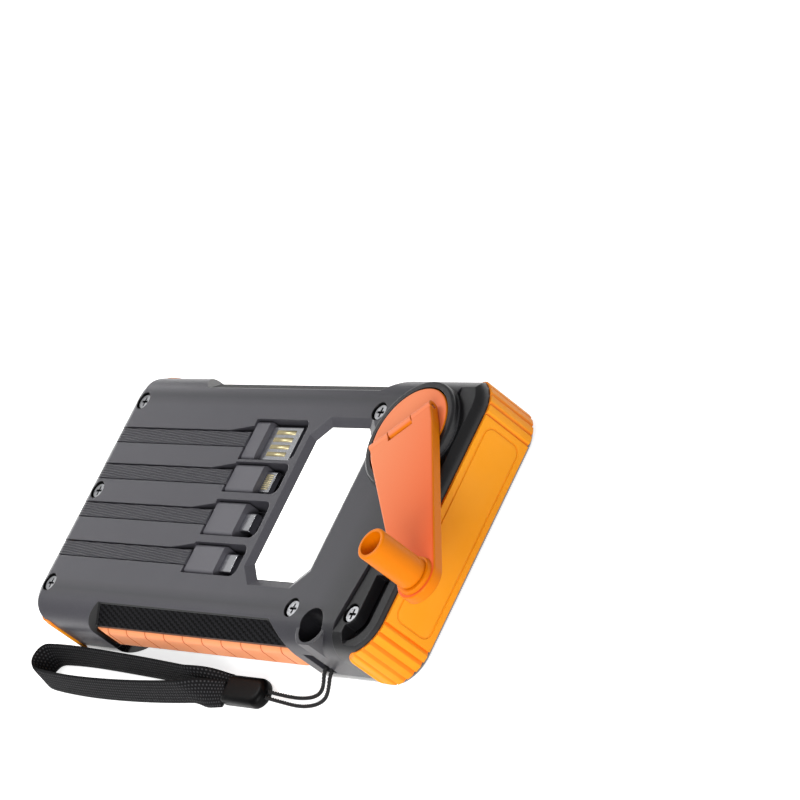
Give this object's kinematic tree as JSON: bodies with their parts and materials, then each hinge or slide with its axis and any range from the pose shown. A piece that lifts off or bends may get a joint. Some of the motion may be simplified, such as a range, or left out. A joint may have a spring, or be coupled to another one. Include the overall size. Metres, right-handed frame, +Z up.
{
  "type": "hand crank phone charger",
  "caption": "Flat battery charger with a solar panel on one face, four captive charging leads, an area lamp, a folding hand crank and a wrist strap.",
  "frame": {"origin": "centre of the solar face that the charger lies on", "axes": "+X towards the crank end, +Y towards the side with the button and sockets, +Z up through the face with the leads and lamp"},
  "size_m": [0.1968, 0.0974, 0.0464],
  "materials": {
    "cover_grey": "satin",
    "frame_black": "gloss",
    "housing_black": "satin",
    "bumper_orange": "satin",
    "strip_orange": "satin",
    "crank_orange": "satin",
    "panel_glass": "gloss",
    "solar_cell": "gloss",
    "lamp_lens": "frosted",
    "board_white": "matte",
    "led_yellow": "matte",
    "board_green": "satin",
    "battery_foil": "satin",
    "screw_steel": "polished",
    "shaft_steel": "ground",
    "can_steel": "drawn",
    "plate_steel": "stamped",
    "bush_brass": "turned",
    "gear_white": "moulded",
    "button_grey": "satin",
    "switch_black": "matte",
    "light_blue": "translucent",
    "socket_steel": "drawn",
    "lead_black": "ribbed",
    "plug_black": "satin",
    "plug_steel": "drawn",
    "trim_weave": "twill weave",
    "strap_cord": "twisted cord",
    "clasp_black": "satin",
    "strap_webbing": "woven"
  },
  "bodies": {
    "casing": {"back_cover": "cover_grey", "battery_cells": "battery_foil", "charge_light": "light_blue", "compound_axle": "shaft_steel", "cover_screws": "screw_steel", "crank_end_bumper": "bumper_orange", "crank_end_housing": "housing_black", "front_frame": "frame_black", "gear_plate": "plate_steel", "generator_can": "can_steel", "hub_bush": "bush_brass", "lamp_lens": "lamp_lens", "lead_roots": "lead_black", "led_board": "board_white", "led_chips": "led_yellow", "level_lights": "light_blue", "lower_trim_port_side": "trim_weave", "lower_trim_strap_side": "trim_weave", "main_board": "board_green", "port_side_strip": "strip_orange", "small_socket": "socket_steel", "solar_cells": "solar_cell", "solar_glass": "panel_glass", "strap_clasp": "clasp_black", "strap_cord_1": "strap_cord", "strap_cord_2": "strap_cord", "strap_post": "housing_black", "strap_side_strip": "strip_orange", "strap_webbing": "strap_webbing", "tact_switch": "switch_black", "tail_end_bumper": "bumper_orange", "upper_trim_port_side": "trim_weave", "upper_trim_strap_side": "trim_weave", "wide_socket": "socket_steel"},
    "rotor": {"crank_rotor": "crank_orange", "hinge_pin": "shaft_steel", "crank_shaft": "shaft_steel", "drive_gear": "gear_white"},
    "arm": {"crank_arm": "crank_orange", "handle_spindle": "shaft_steel"},
    "grip": {"handle_grip": "crank_orange"},
    "compound": {"compound_gear": "gear_white"},
    "generator": {"generator_rotor": "shaft_steel"},
    "button": {"power_button": "button_grey"},
    "flap": {"port_cover": "strip_orange"},
    "charging_lead_1": {"lead_1": "lead_black", "plug_body_1": "plug_black", "plug_tongue_1": "plug_steel"},
    "charging_lead_2": {"lead_2": "lead_black", "plug_body_2": "plug_black", "plug_tongue_2": "plug_steel"},
    "charging_lead_3": {"lead_3": "lead_black", "plug_body_3": "plug_black", "plug_tongue_3": "plug_steel"},
    "charging_lead_4": {"lead_4": "lead_black", "plug_body_4": "plug_black", "plug_tongue_4": "plug_steel"}
  },
  "joints": [
    {"name": "crank_spin", "type": "hinge", "parent": "casing", "child": "rotor", "pos_m": [0.0628, 0.0213, 0.0229], "axis": [0, 0, 1], "continuous": true},
    {"name": "arm_fold", "type": "hinge", "parent": "rotor", "child": "arm", "pos_m": [0.0628, 0.0213, 0.0281], "axis": [-0.7604, -0.6494, 0], "range_deg": [0, 180]},
    {"name": "handle_spin", "type": "hinge", "parent": "arm", "child": "grip", "pos_m": [0.10041, -0.02274, 0.031], "axis": [0, 0, 1], "continuous": true},
    {"name": "compound_gear_spin", "type": "hinge", "parent": "casing", "child": "compound", "pos_m": [0.06213, 0.00211, 0.006], "axis": [0, 0, 1], "continuous": true},
    {"name": "generator_spin", "type": "hinge", "parent": "casing", "child": "generator", "pos_m": [0.0628, -0.01708, 0.006], "axis": [0, 0, 1], "continuous": true},
    {"name": "button_press", "type": "slide", "parent": "casing", "child": "button", "axis": [0, -1, 0], "range_m": [0, 0.0006], "stiffness_N_per_m": 800, "springref_m": -0.0004},
    {"name": "port_cover_open", "type": "hinge", "parent": "casing", "child": "flap", "pos_m": [-0.01505, 0.04095, 0.012], "axis": [0, 0, -1], "range_deg": [0, 90]},
    {"name": "lead_1_lift", "type": "hinge", "parent": "casing", "child": "charging_lead_1", "pos_m": [-0.0728, 0.0188, 0.0228], "axis": [0, -1, 0], "range_deg": [0, 95]},
    {"name": "lead_2_lift", "type": "hinge", "parent": "casing", "child": "charging_lead_2", "pos_m": [-0.0728, 0.0065, 0.0228], "axis": [0, -1, 0], "range_deg": [0, 95]},
    {"name": "lead_3_lift", "type": "hinge", "parent": "casing", "child": "charging_lead_3", "pos_m": [-0.0728, -0.0065, 0.0228], "axis": [0, -1, 0], "range_deg": [0, 95]},
    {"name": "lead_4_lift", "type": "hinge", "parent": "casing", "child": "charging_lead_4", "pos_m": [-0.0728, -0.0195, 0.0228], "axis": [0, -1, 0], "range_deg": [0, 95]}
  ],
  "couplings": [
    {"joint": "compound_gear_spin", "follows": "crank_spin", "ratio": -3},
    {"joint": "generator_spin", "follows": "crank_spin", "ratio": 9}
  ]
}
